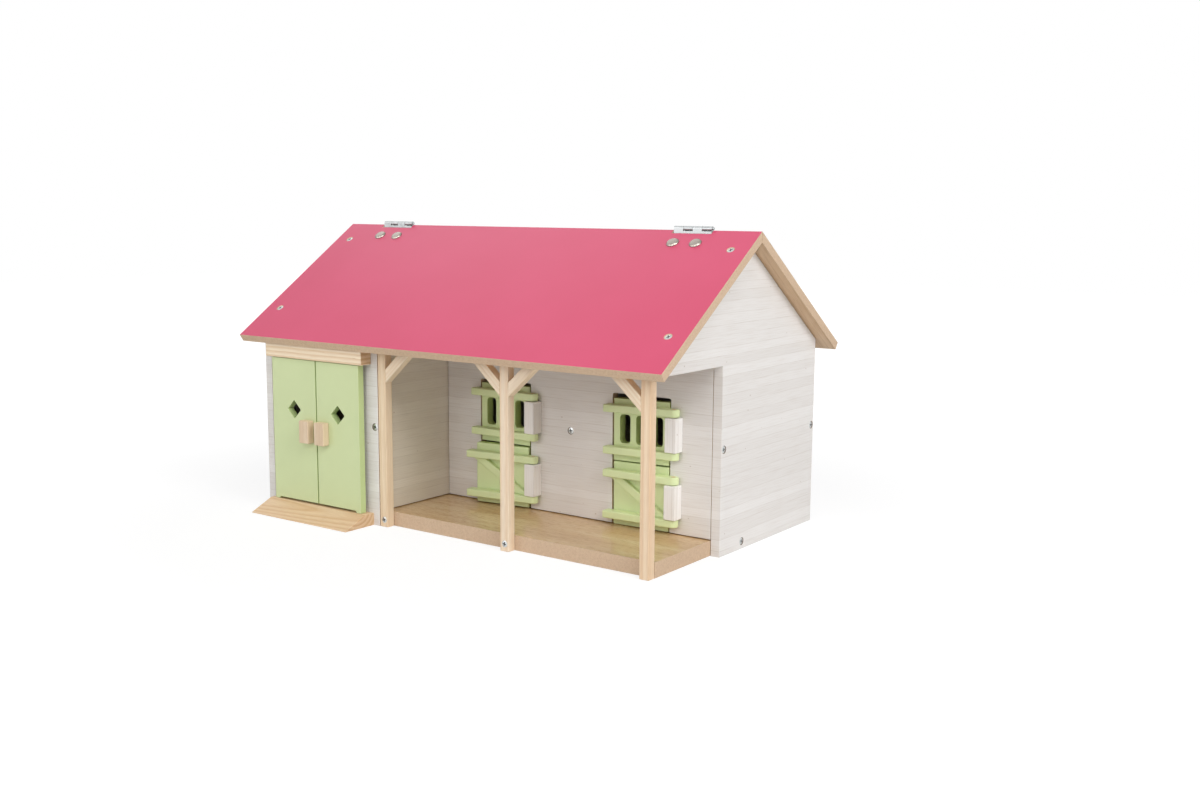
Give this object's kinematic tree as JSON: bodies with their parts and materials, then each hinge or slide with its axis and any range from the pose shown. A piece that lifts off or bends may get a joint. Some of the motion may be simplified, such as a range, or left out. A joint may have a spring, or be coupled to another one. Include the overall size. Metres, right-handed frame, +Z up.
{
  "type": "toy barn with opening doors",
  "caption": "Wooden toy stable with a fixed front roof, a lifting back roof, double storage doors and two-part stall doors behind an open porch.",
  "frame": {"origin": "centre of the bounding box at ground level, under the middle of the ridge's length", "axes": "+X along the ridge with the storage room at -X, +Y from the front doors to the back wall, +Z up"},
  "size_m": [0.51, 0.336, 0.2913],
  "materials": {
    "white_board": "fibreboard with a printed whitewashed wood face",
    "floor_board": "fibreboard with a printed beech face and raw edges",
    "pine": "smooth untreated pine",
    "roof_board": "fibreboard painted satin pink, with raw edges",
    "green_board": "fibreboard painted pale matt green",
    "dowel_wood": "smooth beech dowel",
    "zinc": "zinc plated steel",
    "nickel": "satin nickel plated steel"
  },
  "bodies": {
    "house": {"floor_board": "floor_board", "gable_left": "white_board", "gable_right": "white_board", "storage_wall": "white_board", "partition_wall": "white_board", "stall_wall": "white_board", "stall_divider": "white_board", "back_wall": "white_board", "porch_beam": "pine", "post_left": "pine", "post_middle": "pine", "post_right": "pine", "brace_left": "pine", "brace_middle_left": "pine", "brace_middle_right": "pine", "brace_right": "pine", "lintel": "pine", "ramp": "pine", "roof_front": "roof_board", "storage_door_pins": "zinc", "left_upper_block": "white_board", "left_lower_block": "white_board", "right_upper_block": "white_board", "right_lower_block": "white_board", "hinge_dowels": "dowel_wood", "hinge_left_front": "zinc", "hinge_right_front": "zinc", "hinge_pins": "zinc", "bolts_front": "nickel", "nuts_front": "zinc", "roof_screws": "zinc", "gable_screws": "zinc", "wall_screws": "zinc", "post_screws": "zinc"},
    "lid": {"roof_back": "roof_board", "hinge_left_back": "zinc", "hinge_right_back": "zinc", "bolts_back": "nickel", "nuts_back": "zinc"},
    "left_storage_door": {"storage_door_left": "green_board", "storage_handle_left": "pine"},
    "right_storage_door": {"storage_door_right": "green_board", "storage_handle_right": "pine"},
    "left_upper_door": {"left_upper_leaf": "green_board", "left_upper_batten_low": "green_board", "left_upper_batten_top": "green_board"},
    "left_lower_door": {"left_lower_leaf": "green_board", "left_lower_batten_low": "green_board", "left_lower_batten_top": "green_board", "left_lower_strip": "green_board"},
    "right_upper_door": {"right_upper_leaf": "green_board", "right_upper_batten_low": "green_board", "right_upper_batten_top": "green_board"},
    "right_lower_door": {"right_lower_leaf": "green_board", "right_lower_batten_low": "green_board", "right_lower_batten_top": "green_board", "right_lower_strip": "green_board"}
  },
  "joints": [
    {"name": "lid_hinge", "type": "hinge", "parent": "house", "child": "lid", "pos_m": [0, 0.0085, 0.28913], "axis": [1, 0, 0], "range_deg": [0, 240]},
    {"name": "left_storage_hinge", "type": "hinge", "parent": "house", "child": "left_storage_door", "pos_m": [-0.21425, -0.138, 0.0845], "axis": [0, 0, 1], "range_deg": [-170, 0]},
    {"name": "right_storage_hinge", "type": "hinge", "parent": "house", "child": "right_storage_door", "pos_m": [-0.09875, -0.138, 0.0845], "axis": [0, 0, 1], "range_deg": [0, 170]},
    {"name": "left_upper_hinge", "type": "hinge", "parent": "house", "child": "left_upper_door", "pos_m": [0.0339, -0.0362, 0.1065], "axis": [0, 0, 1], "range_deg": [0, 175]},
    {"name": "left_lower_hinge", "type": "hinge", "parent": "house", "child": "left_lower_door", "pos_m": [0.0339, -0.0362, 0.045], "axis": [0, 0, 1], "range_deg": [-7, 168]},
    {"name": "right_upper_hinge", "type": "hinge", "parent": "house", "child": "right_upper_door", "pos_m": [0.1949, -0.0362, 0.1065], "axis": [0, 0, 1], "range_deg": [0, 175]},
    {"name": "right_lower_hinge", "type": "hinge", "parent": "house", "child": "right_lower_door", "pos_m": [0.1949, -0.0362, 0.045], "axis": [0, 0, 1], "range_deg": [0, 175]}
  ]
}
